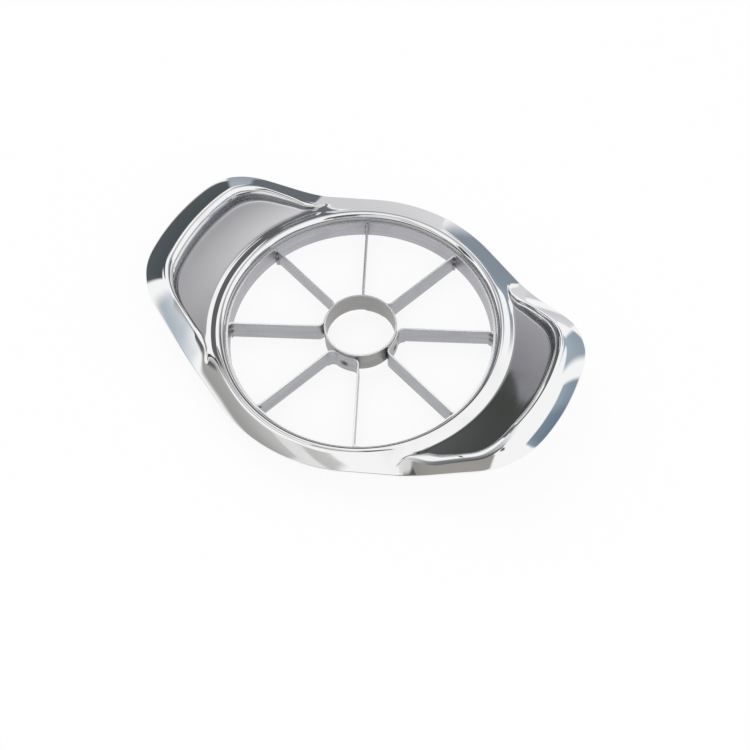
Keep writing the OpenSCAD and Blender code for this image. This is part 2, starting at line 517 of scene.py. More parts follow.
def arc(centre: tuple[float, float], radius: float, start: float, end: float,
        step: float) -> np.ndarray:
    """Points along an arc, both ends included.

    Args:
        centre: the arc's centre.
        radius: its radius.
        start: the angle that it starts at, in degrees.
        end: the angle that it ends at.
        step: the distance between two points.

    Returns:
        The points, one row each.
    """
    fewest = 6
    count = max(fewest, math.ceil(abs(math.radians(end - start)) * radius / step))
    turn = np.radians(np.linspace(start, end, count))
    return np.stack([centre[0] + radius * np.cos(turn), centre[1] + radius * np.sin(turn)], 1)


def patches(numbers: np.ndarray) -> list[list[int]]:
    """Return the four-cornered faces of a grid of point numbers."""
    corners = numbers[:-1, 1:], numbers[1:, 1:], numbers[1:, :-1], numbers[:-1, :-1]
    return np.stack(corners, -1).reshape(-1, 4).tolist()


def add_object(name: str, data: ID) -> Object:
    """Make an object and link it into the scene.

    Args:
        name: the object's name.
        data: the mesh, lamp or camera that it shows.

    Returns:
        The object.
    """
    item = bpy.data.objects.new(name, data)
    bpy.context.scene.collection.objects.link(item)
    return item


def add_mesh(name: str, points: np.ndarray, faces: list[list[int]],
             material: Material) -> Object:
    """Make an object from points and faces.

    Args:
        name: the object's name.
        points: places of the points, in metres.
        faces: the point numbers of each face.
        material: what the faces are made of.

    Returns:
        The object.
    """
    mesh = bpy.data.meshes.new(name)
    mesh.from_pydata(points.reshape(-1, 3).tolist(), [], faces)
    mesh.materials.append(material)
    return add_object(name, mesh)


def grid_piece(name: str, points: np.ndarray, material: Material,
               ring: bool = True) -> Object:
    """Make a smooth closed mesh from rings of section points.

    Args:
        name: the piece's name.
        points: places in metres, station by point by coordinate.
        material: its finish.
        ring: whether the last station joins the first one; otherwise both ends are capped.

    Returns:
        The new object.
    """
    numbers = np.arange(points[..., 0].size).reshape(points.shape[:2])
    faces = patches(np.pad(numbers, ((0, int(ring)), (0, 1)), mode="wrap"))
    if not ring:
        faces += [numbers[0, ::-1].tolist(), numbers[-1].tolist()]
    piece = add_mesh(name, points, faces, material)
    piece.data.polygons.foreach_set("use_smooth", np.ones(len(faces), bool))
    piece.data.update()
    return piece


# The pressed frame


def wing_outline(end: float, side: float, corner: float, lean: float,
                 angle: np.ndarray) -> np.ndarray:
    """Radius of an outline with a round end, round corners and straight sides.

    Args:
        end: radius of the round end.
        side: distance of the straight side from the middle.
        corner: radius of the corner between them.
        lean: angle of the side's normal from the long axis, in degrees.
        angle: angles from the long axis, in degrees.

    Returns:
        One radius for each angle.
    """
    away = end - corner
    turn = lean - math.degrees(math.acos((side - corner) / away))
    (away_x, away_y), (corner_x, corner_y) = polar(away, turn), polar(corner, lean)
    seam = math.degrees(math.atan2(away_y + corner_y, away_x + corner_x))
    swing = np.radians(angle - turn)
    drift = away * np.sin(swing)
    bow = away * np.cos(swing) + np.sqrt(np.maximum(corner * corner - drift * drift, 0.0))
    steepest = 80.0
    line = side / np.cos(np.radians(np.minimum(lean - angle, steepest)))
    return np.select([angle <= turn, angle < seam, angle < lean], [end, bow, line], side)


def soften(curve: np.ndarray, reach: int) -> np.ndarray:
    """Smooth a closed run of points with a rounded window.

    Args:
        curve: the points, one row for each station round the frame.
        reach: the window's half width in stations.

    Returns:
        The smoothed points.
    """
    # The window's first and last weights are nought
    window = np.hanning(2 * reach + 3)[1:-1]
    window /= window.sum()
    return sum(weight * np.roll(curve, shift, axis=0)
               for shift, weight in zip(range(-reach, reach + 1), window))


def between(start: np.ndarray, end: np.ndarray, steps: int) -> np.ndarray:
    """Return so many points between two places at every station, without the places."""
    t = np.linspace(0.0, 1.0, steps + 2)[1:-1][None, :, None]
    return start[:, None] * (1 - t) + end[:, None] * t


@dataclass(frozen=True)
class Bend:
    """How a corner of the section is rounded.

    The trims before and after the corner are in millimetres and take at most so much of each
    leg. Steps are the rounding's points, gap the points from it to the next rounding.
    """

    back: float
    on: float
    steps: int
    gap: int = 0
    most: float = 0.48

    def round(self, before: np.ndarray, corner: np.ndarray, after: np.ndarray) -> np.ndarray:
        """Round the corner at every station.

        Args:
            before: the point before the corner.
            corner: the corner.
            after: the point after the corner.

        Returns:
            The rounding's points, station by step by coordinate.
        """
        ends = []
        for leg, trim in ((before - corner, self.back), (after - corner, self.on)):
            length = np.linalg.norm(leg, axis=1, keepdims=True)
            ends.append(corner + leg / length * np.minimum(trim, self.most * length))
        first, middle, last = ends[0][:, None], corner[:, None], ends[1][:, None]
        t = np.linspace(0.0, 1.0, self.steps)[None, :, None]
        return (1 - t) ** 2 * first + 2 * t * (1 - t) * middle + t * t * last


@dataclass
class PressedFrame:
    """The pressed sheet frame, one smooth skin of the sheet's thickness. Sizes in millimetres."""

    end_r: float
    side_r: float
    lip_z: float
    sheet: float = 0.8
    # Outline and height of the wings
    lean: float = 65.0
    corner_r: float = 26.0
    wing_rise: float = 9.7
    crest_rise: float = 2.8
    rim_drop: float = 1.85
    rise_angles: Span = (48.0, 15.0)
    # Lip and skirt
    lip_r: float = 2.5
    lip_turn: float = 78.0
    lip_steps: int = 20
    skirt_r: float = 47.349
    skirt_depth: float = 6.5
    skirt_steps: int = 4
    # Brow, groove and land outside the lip
    brow_width: float = 0.8
    groove_width: float = 2.6
    groove_depth: float = 0.62
    land_width: float = 1.5
    land_z: float = -0.60
    # Flange, crest, wall and floor of the recess
    end_flange: float = 7.7
    side_flange: float = 6.0
    flange_bulge: float = 0.36
    crest_inset: float = 0.9
    crest_lift: float = 0.3
    shoulder: Span = (0.10, 0.78)
    end_wall: float = 3.2
    side_wall: float = 2.1
    full_wall: float = 4.0
    floor_lift: float = 0.02
    floor_slope: float = 24.0
    least_floor: float = 0.3
    tip_angles: Span = (33.2, 36.4)
    tip_share: float = 0.45
    # Where the recess swells outward: most swell, the crest's lead over it, its four angles
    most_swell: float = 2.2
    swell_lead: float = 1.8
    swell_angles: tuple[float, float, float, float] = (12.0, 27.0, 36.0, 46.0)
    # The plain rim, into which the wings fade
    fade_angles: Span = (50.0, 41.0)
    rim_shares: tuple[float, ...] = (0.06, 0.13, 0.22, 0.32, 0.5, 0.59, 0.68, 1.0)
    rim_groove: float = 0.12
    # Roundings and density of the mesh
    bends: tuple[Bend, ...] = (
        Bend(0.6, 0.35, 8), Bend(0.25, 0.3, 8), Bend(0.6, 0.6, 6), Bend(0.75, 1.0, 10, gap=10),
        Bend(1.2, 0.8, 14, gap=9), Bend(0.9, 0.9, 8, gap=3), Bend(1.1, 0.9, 18, gap=13))
    edge_round: float = 0.3
    edge_steps: int = 5
    stations: int = 480
    soften_degrees: float = 1.6
    square_passes: int = 6
    # Painted shade on a rougher finish: gap shadow on skirt and lip, shade on the recess wall and
    # swollen wall, a dark line on its crest
    skirt_shade_and_dull: tuple[float, ...] = (0.8,) * 8 + (0.4,) * 4
    wall_shade_and_dull_ramp: float = 5.0
    wall_shade_and_dull_top: float = 0.62
    wall_shade_and_dull_fade: float = 0.22
    wall_shade_and_dull_height: float = 3.0
    least_wall: float = 0.1
    swell_shade_and_dull: Span = (0.4, 1.0)
    line_ramp: float = 4.0

    def __post_init__(self) -> None:
        """Work out the stations round the frame.

        Each has its angle all round, its angle from the nearer end of the long axis, and how
        far the recess reaches out there past its regular outline.
        """
        self.around = np.arange(self.stations) * 360.0 / self.stations
        half = np.mod(self.around, 180.0)
        self.angle = np.where(half > 90.0, 180.0 - half, half)
        front = 360.0 - self.around
        first, full, last, end = self.swell_angles
        self.swell = (self.most_swell * ease((front - first) / (full - first))
                      * ease((end - front) / (end - last)))
        self.crease_r = self.skirt_r + self.lip_r * (1 - math.cos(math.radians(self.lip_turn)))

    def wing_corners(self) -> list[np.ndarray]:
        """Corner points of a wing's section.

        Returns:
            One array of radius and height for each corner.
        """
        angle, swell = self.angle, self.swell
        slope = math.tan(math.radians(self.floor_slope))
        rise = ease((self.rise_angles[0] - angle) / (self.rise_angles[0] - self.rise_angles[1]))
        groove_r = self.crease_r + self.groove_width
        floor_r = groove_r + self.land_width
        floor_z = self.land_z + self.floor_lift
        edge_r = wing_outline(self.end_r, self.side_r, self.corner_r, self.lean, angle)
        edge_z = -self.rim_drop + (self.wing_rise + self.rim_drop) * rise
        crest_r = wing_outline(self.end_r - self.end_flange - self.crest_inset,
                               self.side_r - self.side_flange - self.crest_inset,
                               self.corner_r - self.side_flange, self.lean, angle)
        crest_z = (self.wing_rise + self.crest_rise) * rise
        inner = self.side_flange + self.side_wall
        bay_r = wing_outline(self.end_r - self.end_flange - self.end_wall, self.side_r - inner,
                             self.corner_r - inner, self.lean, angle) + swell
        bay_r = np.maximum(bay_r, floor_r)
        start, end = self.tip_angles
        near = np.clip((angle - start) / (end - start), 0.0, 1.0)
        shut = 1.0 - np.sqrt(1.0 - near * near)
        tip_r = floor_r + self.tip_share * (bay_r - floor_r)
        foot_r = floor_r + shut * (tip_r - floor_r)
        bay_r = np.maximum(bay_r - shut * (bay_r - tip_r), foot_r + self.least_floor)
        bay_z = floor_z + (bay_r - floor_r) * slope
        crest_r = np.maximum(crest_r, bay_r - swell)
        crest_z = np.maximum(crest_z, bay_z)
        lift = self.crest_lift * np.clip((crest_z - bay_z) / self.full_wall, 0.0, 1.0)
        share = self.swell_lead * swell / (edge_r - crest_r)
        peak_r = crest_r + share * (edge_r - crest_r)
        peak_z = crest_z + lift + share * (edge_z - crest_z - lift)
        step_r = bay_r + self.shoulder[0] * (peak_r - bay_r)
        step_z = bay_z + self.shoulder[1] * (peak_z - bay_z)
        same = np.ones_like(angle)
        return [np.stack(pair, 1) for pair in (
            ((self.crease_r + self.brow_width) * same, 0.0 * same),
            (groove_r * same, -self.groove_depth * same),
            ((groove_r + foot_r) / 2, self.land_z * same),
            (foot_r, floor_z + (foot_r - floor_r) * slope),
            (bay_r, bay_z), (step_r, step_z), (peak_r, peak_z), (edge_r, edge_z))]

    def corners(self) -> list[np.ndarray]:
        """Corner points of the section, with the wings blended into the plain rim.

        Returns:
            One array of radius and height for each corner.
        """
        wing = self.wing_corners()
        crease = np.array([self.crease_r, 0.0])
        start, end = self.fade_angles
        share = ease((start - self.angle) / (start - end))[:, None]
        reach = round(self.stations / 360 * self.soften_degrees)
        blended = []
        for corner, place, along in zip(Corner, wing, self.rim_shares):
            rim = crease + (wing[Corner.EDGE] - crease) * along
            if corner is Corner.GROOVE:
                rim = rim - np.array([0.0, self.rim_groove])
            blended.append(soften(rim * (1.0 - share) + place * share, reach))
        return blended

    def base(self) -> np.ndarray:
        """Section of the skirt and of the lip rolled over it.

        Returns:
            One row a point.
        """
        turn = np.radians(np.linspace(0.0, self.lip_turn, self.lip_steps))
        centre_r = self.skirt_r + self.lip_r
        centre_z = -self.lip_r * math.sin(math.radians(self.lip_turn))
        upright = np.linspace(-self.skirt_depth, centre_z, self.skirt_steps + 1)[:-1]
        return np.concatenate([
            np.stack([np.full(self.skirt_steps, self.skirt_r), upright], 1),
            np.stack([centre_r - self.lip_r * np.cos(turn),
                      centre_z + self.lip_r * np.sin(turn)], 1)])

    def bulge(self, start: np.ndarray, edge: np.ndarray) -> np.ndarray:
        """How far the flange bulges out square to itself, between the crest and its edge.

        Args:
            start: the flange's first place at every station.
            edge: its last place.

        Returns:
            The shift, station by step by coordinate.
        """
        leg = edge - start
        square = unit(np.stack([-leg[:, 1], leg[:, 0]], 1))
        t = np.linspace(0.0, 1.0, self.bends[-1].gap + 2)[1:-1][None, :, None]
        # An arch that is as high as the bulge in the middle
        bow = 4.0 * self.flange_bulge * t * (1 - t)
        rise = np.clip(edge[:, 1] / self.wing_rise, 0.0, 1.0)[:, None, None]
        narrow = (1.0 - self.swell_lead * self.swell / self.side_flange)[:, None, None] ** 2
        return square[:, None] * bow * rise * narrow

    def upper_skin(self) -> tuple[np.ndarray, np.ndarray]:
        """The section of the frame's upper skin at every station.

        Returns:
            Radius and height, station by point by coordinate, and how much painted shade and
            roughness each point takes, from 0 to 1.
        """
        base = np.repeat(self.base()[None], self.stations, 0)
        corners = self.corners()
        edge = corners[Corner.EDGE]
        edge = edge - unit(edge - corners[Corner.PEAK]) * self.edge_round
        places = [base[:, -1], *corners[:Corner.EDGE], edge]
        rounds = [bend.round(*places[index:index + 3]) for index, bend in enumerate(self.bends)]
        ends = [run[:, 0] for run in rounds[1:]] + [edge]
        gaps = [between(run[:, -1], end, bend.gap)
                for run, end, bend in zip(rounds, ends, self.bends)]
        gaps[-1] = gaps[-1] + self.bulge(rounds[-1][:, -1], edge)
        blocks = [base]
        for pair in zip(rounds, gaps):
            blocks.extend(pair)
        # A corner's rounding runs from seam 2 * corner to the next one
        seams = np.cumsum([block.shape[1] for block in blocks])
        skin = np.concatenate([*blocks, edge[:, None]], axis=1)
        wall = slice(seams[2 * Corner.BAY], seams[2 * Corner.SHOULDER + 1])
        crest = slice(seams[2 * Corner.PEAK], seams[2 * Corner.PEAK + 1])
        return skin, self.shade_and_dullness(skin, corners, wall, crest)

    def shade_and_dullness(self, skin: np.ndarray, corners: list[np.ndarray], wall: slice,
                 crest: slice) -> np.ndarray:
        """How much painted shade and roughness each point of the upper skin takes.

        Args:
            skin: the skin's section points.
            corners: the section's corners.
            wall: the points of the recess wall.
            crest: the points of its crest.

        Returns:
            One value from 0 to 1 for each point.
        """
        shade_and_dull = np.zeros(skin.shape[:2])
        foot = corners[Corner.BAY][:, 1:]
        height = corners[Corner.PEAK][:, 1:] - foot
        # Painted shade low on the recess wall, fading out as the wall climbs
        climb = (skin[:, wall, 1] - foot) / np.maximum(height, self.least_wall)
        start = ease(np.linspace(0.0, self.wall_shade_and_dull_ramp, climb.shape[1]))
        deep = start * ease((self.wall_shade_and_dull_top - climb) / self.wall_shade_and_dull_fade)
        on_wall = deep * np.clip(height / self.wall_shade_and_dull_height, 0.0, 1.0)
        swell_part = np.clip(self.swell / self.most_swell, 0.0, 1.0)[:, None]
        shade_and_dull[:, wall] = np.maximum(on_wall, self.swell_shade_and_dull[0] * swell_part)
        # A painted dark line along the crest of the swollen wall
        ramp = ease(np.linspace(0.0, self.line_ramp, shade_and_dull[:, crest].shape[1]))
        shade_and_dull[:, crest] = self.swell_shade_and_dull[1] * swell_part * (ramp * ramp[::-1])
        # Painted gap shadow on the skirt and the start of the lip
        shade_and_dull[:, :len(self.skirt_shade_and_dull)] = self.skirt_shade_and_dull
        return shade_and_dull

    def lower_skin(self, upper: np.ndarray) -> np.ndarray:
        """The sheet's other side, square to the upper skin.

        Args:
            upper: the upper skin's section points.

        Returns:
            The lower skin's section points, in the same order.
        """
        slope = np.gradient(upper, axis=1)
        square = unit(np.stack([slope[..., 1], -slope[..., 0]], -1))
        for _ in range(self.square_passes):
            inner = (square[:, :-2] + 2 * square[:, 1:-1] + square[:, 2:]) / 4
            square = np.concatenate([square[:, :1], inner, square[:, -1:]], 1)
        return upper + self.sheet * unit(square)

    def rounded_edge(self, top: np.ndarray, under: np.ndarray, out: np.ndarray) -> np.ndarray:
        """Points round the sheet's outer edge.

        Args:
            top: the upper skin's last point at every station.
            under: the lower skin's last point.
            out: the direction out of the sheet.

        Returns:
            The edge's points, station by step by coordinate.
        """
        middle, half = (top + under) / 2, (top - under) / 2
        swing = np.linspace(0.0, math.pi, self.edge_steps + 2)[1:-1]
        return np.stack([middle + half * math.cos(s) + out * (self.edge_round * math.sin(s))
                         for s in swing], 1)

    def build(self, material: Material) -> None:
        """Build the frame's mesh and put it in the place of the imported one.

        Args:
            material: the frame's finish.
        """
        upper, shade_and_dull = self.upper_skin()
        lower = self.lower_skin(upper)
        rim = self.rounded_edge(upper[:, -1], lower[:, -1], unit(upper[:, -1] - upper[:, -2]))
        # Half the points are enough for the lower skin
        loop = np.concatenate([upper, rim, lower[:, ::2][:, ::-1]], 1)
        turn = np.radians(self.around)[:, None]
        points = np.stack([loop[..., 0] * np.cos(turn), loop[..., 0] * np.sin(turn),
                           loop[..., 1] + self.lip_z], -1) * MM
        piece = grid_piece("frame_skin", points, material)
        spare = np.zeros((self.stations, loop.shape[1] - shade_and_dull.shape[1]))
        # The mask of painted shade and rougher finish goes on the mesh
        layer = piece.data.attributes.new(SHADE_AND_DULL, "FLOAT", "POINT")
        layer.data.foreach_set("value", np.concatenate([shade_and_dull, spare], 1).ravel())
        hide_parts("frame")
        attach(piece, BODY)
        log.info("frame: %d points", len(piece.data.vertices))


# Collar, core ring and blade strips


@dataclass
class BentStrip:
    """One strip: tab, blade, seat on the core ring, blade, tab. Sizes in millimetres."""

    side: Side
    heading: float
    tab_turns: tuple[int, int]
    low_z: float
    seat_r: float
    tab_r: float
    height: float
    half_angle: float = 22.5
    thickness: float = 0.6
    hub_bend: float = 2.5
    tab_bend: float = 0.5
    tab_length: float = 0.3
    bevel_height: float = 1.6
    bevel_ramp: float = 0.6
    edge_thickness: float = 0.15
    edge_lift: float = 0.04
    corner: float = 0.03
    weld_r: float = 1.0
    weld_slope: float = 0.4
    weld_depth: float = 0.2
    step: float = 0.22
    levels: tuple[int, int] = (8, 30)
    flat_above: float = 0.5

    def half_path(self, hub: int, tab: int) -> tuple[np.ndarray, np.ndarray]:
        """Middle line of half a strip, from the middle of its seat to the end of its tab.

        Args:
            hub: which side of the blade the seat lies on, 1 or -1.
            tab: which side the tab turns to.

        Returns:
            The points, and how much of the cutting edge each one has.
        """
        start = math.sqrt((self.seat_r + self.hub_bend) ** 2 - self.hub_bend ** 2)
        end = math.sqrt((self.tab_r - self.tab_bend) ** 2 - self.tab_bend ** 2)
        hub_angle = math.degrees(math.atan2(self.hub_bend, start))
        tab_angle = math.degrees(math.atan2(self.tab_bend, end))
        reach = math.degrees(self.tab_length / self.tab_r)
        seat = arc((0, 0), self.seat_r, hub * self.half_angle, hub * hub_angle, self.step)
        bend = arc((start, hub * self.hub_bend), self.hub_bend, -hub * (180 - hub_angle),
                   -hub * 90, self.step)
        count = math.ceil((end - start) / self.step)
        blade = np.stack([np.linspace(start, end, count), np.zeros(count)], 1)
        turn = arc((end, tab * self.tab_bend), self.tab_bend, -tab * 90, tab * tab_angle, self.step)
        last = arc((0, 0), self.tab_r, tab * tab_angle, tab * (tab_angle + reach), self.step)
        path = np.concatenate([seat, bend[1:], blade[1:], turn[1:], last[1:]])
        edge = (ease((path[:, 0] - start) / self.bevel_ramp)
                * ease((end - path[:, 0]) / self.bevel_ramp))
        return turned(path, -hub * self.half_angle), edge

    def dent(self, plan: np.ndarray, z: float, facing: np.ndarray) -> np.ndarray:
        """How far one level of a face is pressed in by the spot weld in the middle of the seat.

        Args:
            plan: the face's points in plan.
            z: their height above the strip's lowest edge.
            facing: the direction that the face looks in at each point.

        Returns:
            The depth at every point.
        """
        away = np.linalg.norm(plan - np.array([self.seat_r, 0.0]), axis=1)
        apart = np.hypot(away, z - self.height / 2)
        outer = (facing * plan).sum(1) > 0
        return self.weld_depth * outer * ease((self.weld_r - apart) / self.weld_slope)

    def build(self, material: Material) -> None:
        """Build the strip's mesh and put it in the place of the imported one.

        Args:
            material: its finish.
        """
        first, first_edge = self.half_path(1, self.tab_turns[0])
        second, second_edge = self.half_path(-1, self.tab_turns[1])
        path = np.concatenate([first[::-1], second[1:]])
        edge = np.concatenate([first_edge[::-1], second_edge[1:]])
        along = unit(np.gradient(path, axis=0))
        square = np.stack([-along[:, 1], along[:, 0]], 1)
        half = self.thickness / 2
        cut = (self.thickness - self.edge_thickness) * edge
        levels = [*np.linspace(self.edge_lift, self.bevel_height, self.levels[0])[:-1],
                  *np.linspace(self.bevel_height, self.height - self.corner, self.levels[1])]
        rings = [(half - self.dent(path + square * half, z, square), z) for z in levels]
        rings += [(np.full(len(path), face * (half - self.corner)), self.height)
                  for face in (1, -1)]
        rings += [(self.dent(path - square * half, z, -square) - half
                   + cut * max(0.0, 1.0 - z / self.bevel_height), z) for z in levels[::-1]]
        sides = [np.concatenate([turned(path + square * offset[:, None], self.heading),
                                 np.full((len(path), 1), z + self.low_z)], 1)
                 for offset, z in rings]
        points = np.stack(sides, 1) * MM
        piece = grid_piece(f"strip_{self.side.value}", points, material, ring=False)
        for face in piece.data.polygons:
            face.use_smooth = abs(face.normal.z) < self.flat_above and len(face.vertices) == 4
        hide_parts(f"blade_strip_{self.side.value}")
        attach(piece, BODY)
        log.info("%s: %d points", piece.name, len(piece.data.vertices))


@dataclass
class BladeStar:
    """Collar and core ring as packed, dressed as satin steel, and the four bent strips.

    The seats and their weld tint lie out from the core ring, the tabs and their painted shade in
    from the collar, in millimetres; shares are of a strip's height.
    """

    effects: Effects
    star_turn: float = 5.1
    half_angle: float = 22.5
    collar_colour: Colour = (0.45, 0.45, 0.485)
    ring_colour: Colour = (0.34, 0.335, 0.33)
    seat_out: float = 0.3
    tab_in: float = 1.1
    seat_tint_out: float = 0.6
    tab_shade_in: float = 1.2
    seat_tint: float = 2.1 * MM
    tab_shade: float = 1.5 * MM
    seat_share: float = 0.5
    tab_shares: Span = (0.45, 0.8)
    tab_turns: tuple[tuple[int, int], ...] = ((1, -1), (-1, 1), (1, 1), (-1, 1))

    def dress(self) -> None:
        """Give every ring and strip its own finish."""
        for name, title, colour in (("blade_band", "collar steel", self.collar_colour),
                                    ("core_ring", "core ring steel", self.ring_colour)):
            dress_node(name, SatinSteel(title, colour=colour).build(self.effects))
        for index, side in enumerate(Side):
            node = f"blade_strip_{side.value}"
            heading = self.star_turn + 90.0 * index
            steel = SatinSteel(f"blade steel {side.value}", welds_and_shade=self.weld_and_shade_places(node, heading))
            low, high = (corner[2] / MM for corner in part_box(node))
            strip = BentStrip(side, heading, self.tab_turns[index], low,
                              seat_r=self.ring_r + self.seat_out,
                              tab_r=self.collar_r - self.tab_in, height=high - low)
            strip.build(steel.build(self.effects))

    @property
    def ring_r(self) -> float:
        """Outer radius of the core ring, in millimetres."""
        low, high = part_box("core_ring")
        return (high[0] - low[0]) / 2 / MM

    @property
    def collar_r(self) -> float:
        """Outer radius of the collar, in millimetres."""
        low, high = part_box("blade_band")
        return (high[0] - low[0]) / 2 / MM

    def weld_and_shade_places(self, node: str, heading: float) -> tuple[tuple[Point, float], ...]:
        """Where a strip is tinted: heat tint round the weld on its seat, and painted shade at its
        ends by the collar.

        Args:
            node: the strip's node.
            heading: the angle of the strip's middle from the long axis, in degrees.

        Returns:
            Centre and radius of each tinted place, in metres.
        """
        low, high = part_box(node)
        tab_r = (self.collar_r - self.tab_shade_in) * MM
        spots = [(heading, (self.ring_r + self.seat_tint_out) * MM, self.seat_share,
                  self.seat_tint)]
        # Painted shade at the tabs, where the strip meets the collar
        spots += [(heading + turn, tab_r, share, self.tab_shade)
                  for turn in (-self.half_angle, self.half_angle) for share in self.tab_shares]
        return tuple(((*polar(reach, angle), low[2] + share * (high[2] - low[2])), size)
                     for angle, reach, share, size in spots)


# Studio


def shown(percent: Colour) -> Colour:
    """Return the light that shows in the polish as a screen colour given in percent."""
    screen_gamma, polish_gain = 2.2, 0.9
    return tuple((value / 100) ** screen_gamma / polish_gain for value in percent)


@dataclass(frozen=True)
class TentPanel:
    """A panel of the light tent round the slicer, which only metal sees.

    A wall panel stands on a round wall close to the slicer. Its rise is in millimetres above
    the lip, and it climbs by so many more from its start to its end. A dome panel's rise is an
    elevation. Angles are in degrees, radii in millimetres and colours in percent of white as
    they show in the polish, low and high on the panel.
    """

    name: str
    azimuth: Span
    rise: Span
    low: Colour
    high: Colour
    radius: float
    fade: Span = (2.0, 2.0)
    climb: float = 0.0
    form: Form = Form.WALL
    step: float = 3.0
    most_fade: float = 0.49
    blend_span: Span = (0.1, 0.9)

    def grid(self) -> tuple[np.ndarray, np.ndarray]:
        """Work out the panel's points.

        Returns:
            The points in millimetres from the tent's middle, row by column by coordinate, and
            the share of width and height at which each one lies.
        """
        counts = [max(2, math.ceil((end - start) / self.step)) + 1
                  for start, end in (self.azimuth, self.rise)]
        u, v = np.meshgrid(*(np.linspace(0.0, 1.0, count) for count in counts))
        turn = np.radians(self.azimuth[0] * (1 - u) + self.azimuth[1] * u)
        rise = self.rise[0] * (1 - v) + self.rise[1] * v
        if self.form is Form.WALL:
            away, height = self.radius, rise + self.climb * u
        else:
            away = self.radius * np.cos(np.radians(rise))
            height = self.radius * np.sin(np.radians(rise))
        points = np.stack([away * np.cos(turn), away * np.sin(turn), height], -1)
        return points, np.stack([u, v], -1)

    def build(self, height: float) -> None:
        """Build the panel, unseen by the eye, by diffuse light and by shadows.

        Args:
            height: height of the tent's middle above the ground, in millimetres.
        """
        points, shares = self.grid()
        points[..., 2] += height
        faces = patches(np.arange(shares[..., 0].size).reshape(shares.shape[:2]))
        panel = add_mesh(self.name, points * MM, faces, self.shade())
        layer = panel.data.uv_layers.new(name="panel")
        layer.data.foreach_set("uv", shares.reshape(-1, 2)[np.ravel(faces)].ravel())
        panel.visible_camera = False
        panel.visible_diffuse = False
        panel.visible_shadow = False

    def shade(self) -> Material:
        """Build the panel's material, which fades out towards its edges.

        Returns:
            The material.
        """
        material, sheet = new_material(self.name)
        split = sheet.add("ShaderNodeSeparateXYZ", sheet.add("ShaderNodeUVMap", uv_map="panel"))
        share = sheet.add("ShaderNodeNewGeometry").outputs["Backfacing"]
        for output, (start, end), fade in zip(split.outputs, (self.azimuth, self.rise), self.fade):
            away = sheet.math("ABSOLUTE", sheet.math("SUBTRACT", output, 0.5))
            soft = min(self.most_fade, fade / (end - start))
            share = sheet.math("MULTIPLY", share, sheet.remap(away, 0.5, 0.5 - soft))
        along = sheet.remap(split.outputs[1], *self.blend_span)
        light = sheet.blend(along, shown(self.low), shown(self.high))
        glow = sheet.add("ShaderNodeEmission", light)
        clear = sheet.add("ShaderNodeBsdfTransparent")
        mix = sheet.add("ShaderNodeMixShader", share, clear, glow)
        sheet.add("ShaderNodeOutputMaterial", mix)
        return material


@dataclass(frozen=True)
class Lamp:
    """A soft square lamp that looks at the slicer. Place and size in metres, power in watts."""

    name: str
    place: Point
    size: float
    power: float

    def build(self) -> None:
        """Build the lamp, unseen by the eye and by the metal."""
        data = bpy.data.lights.new(self.name, "AREA")
        data.size = self.size
        data.energy = self.power
        lamp = add_object(self.name, data)
        facing = (-Vector(self.place)).to_track_quat("-Z", "Y")
        lamp.matrix_world = Matrix.Translation(self.place) @ facing.to_matrix().to_4x4()
        lamp.visible_camera = False
        lamp.visible_glossy = False


@dataclass
class Studio:
    """The pale floor, the white surround, the lamps and the light tent's panels."""

    tent_height: float
    panels: list[TentPanel]
    floor_half: float = 1.6
    floor_drop: float = 0.1 * MM
    floor_colour: Colour = (0.93, 0.93, 0.93)
    floor_glow: float = 0.87
    dome_strength: float = 0.85
    lamps: tuple[Lamp, ...] = (Lamp("key lamp", (-0.45, 0.35, 0.9), 0.7, 1.5),
                               Lamp("fill lamp", (0.6, -0.5, 0.8), 0.8, 2.0))

    def build(self) -> None:
        """Build floor, world, lamps and the tent's panels."""
        self.build_floor()
        self.build_world()
        for lamp in self.lamps:
            lamp.build()
        for panel in self.panels:
            panel.build(self.tent_height)
        log.info("studio: %d lamps, %d panels", len(self.lamps), len(self.panels))

    def build_floor(self) -> None:
        """Build the floor, white to the eye and to the metal, with the slicer's soft shadow."""
        material, sheet = new_material("pale floor")
        matte = sheet.add("ShaderNodeBsdfDiffuse", self.floor_colour)
        glow = sheet.add("ShaderNodeEmission", WHITE)
        share = sheet.math("MULTIPLY", sheet.seen(), self.floor_glow)
        mix = sheet.add("ShaderNodeMixShader", share, matte, glow)
        sheet.add("ShaderNodeOutputMaterial", mix)
        s = self.floor_half
        points = np.array([(-s, -s, 0), (s, -s, 0), (s, s, 0), (-s, s, 0)])
        floor = add_mesh("floor", points, [[0, 1, 2, 3]], material)
        floor.location.z = -self.floor_drop

    def build_world(self) -> None:
        """Build the surround: white to the eye and to the metal, softer as a light."""
        world = bpy.data.worlds.new("white surround")
        bpy.context.scene.world = world
        world.use_nodes = True
        sheet = NodeSheet(world.node_tree)
        soft = sheet.add("ShaderNodeBackground", WHITE, self.dome_strength)
        white = sheet.add("ShaderNodeBackground", WHITE)
        mix = sheet.add("ShaderNodeMixShader", sheet.seen(), soft, white)
        sheet.add("ShaderNodeOutputWorld", mix)


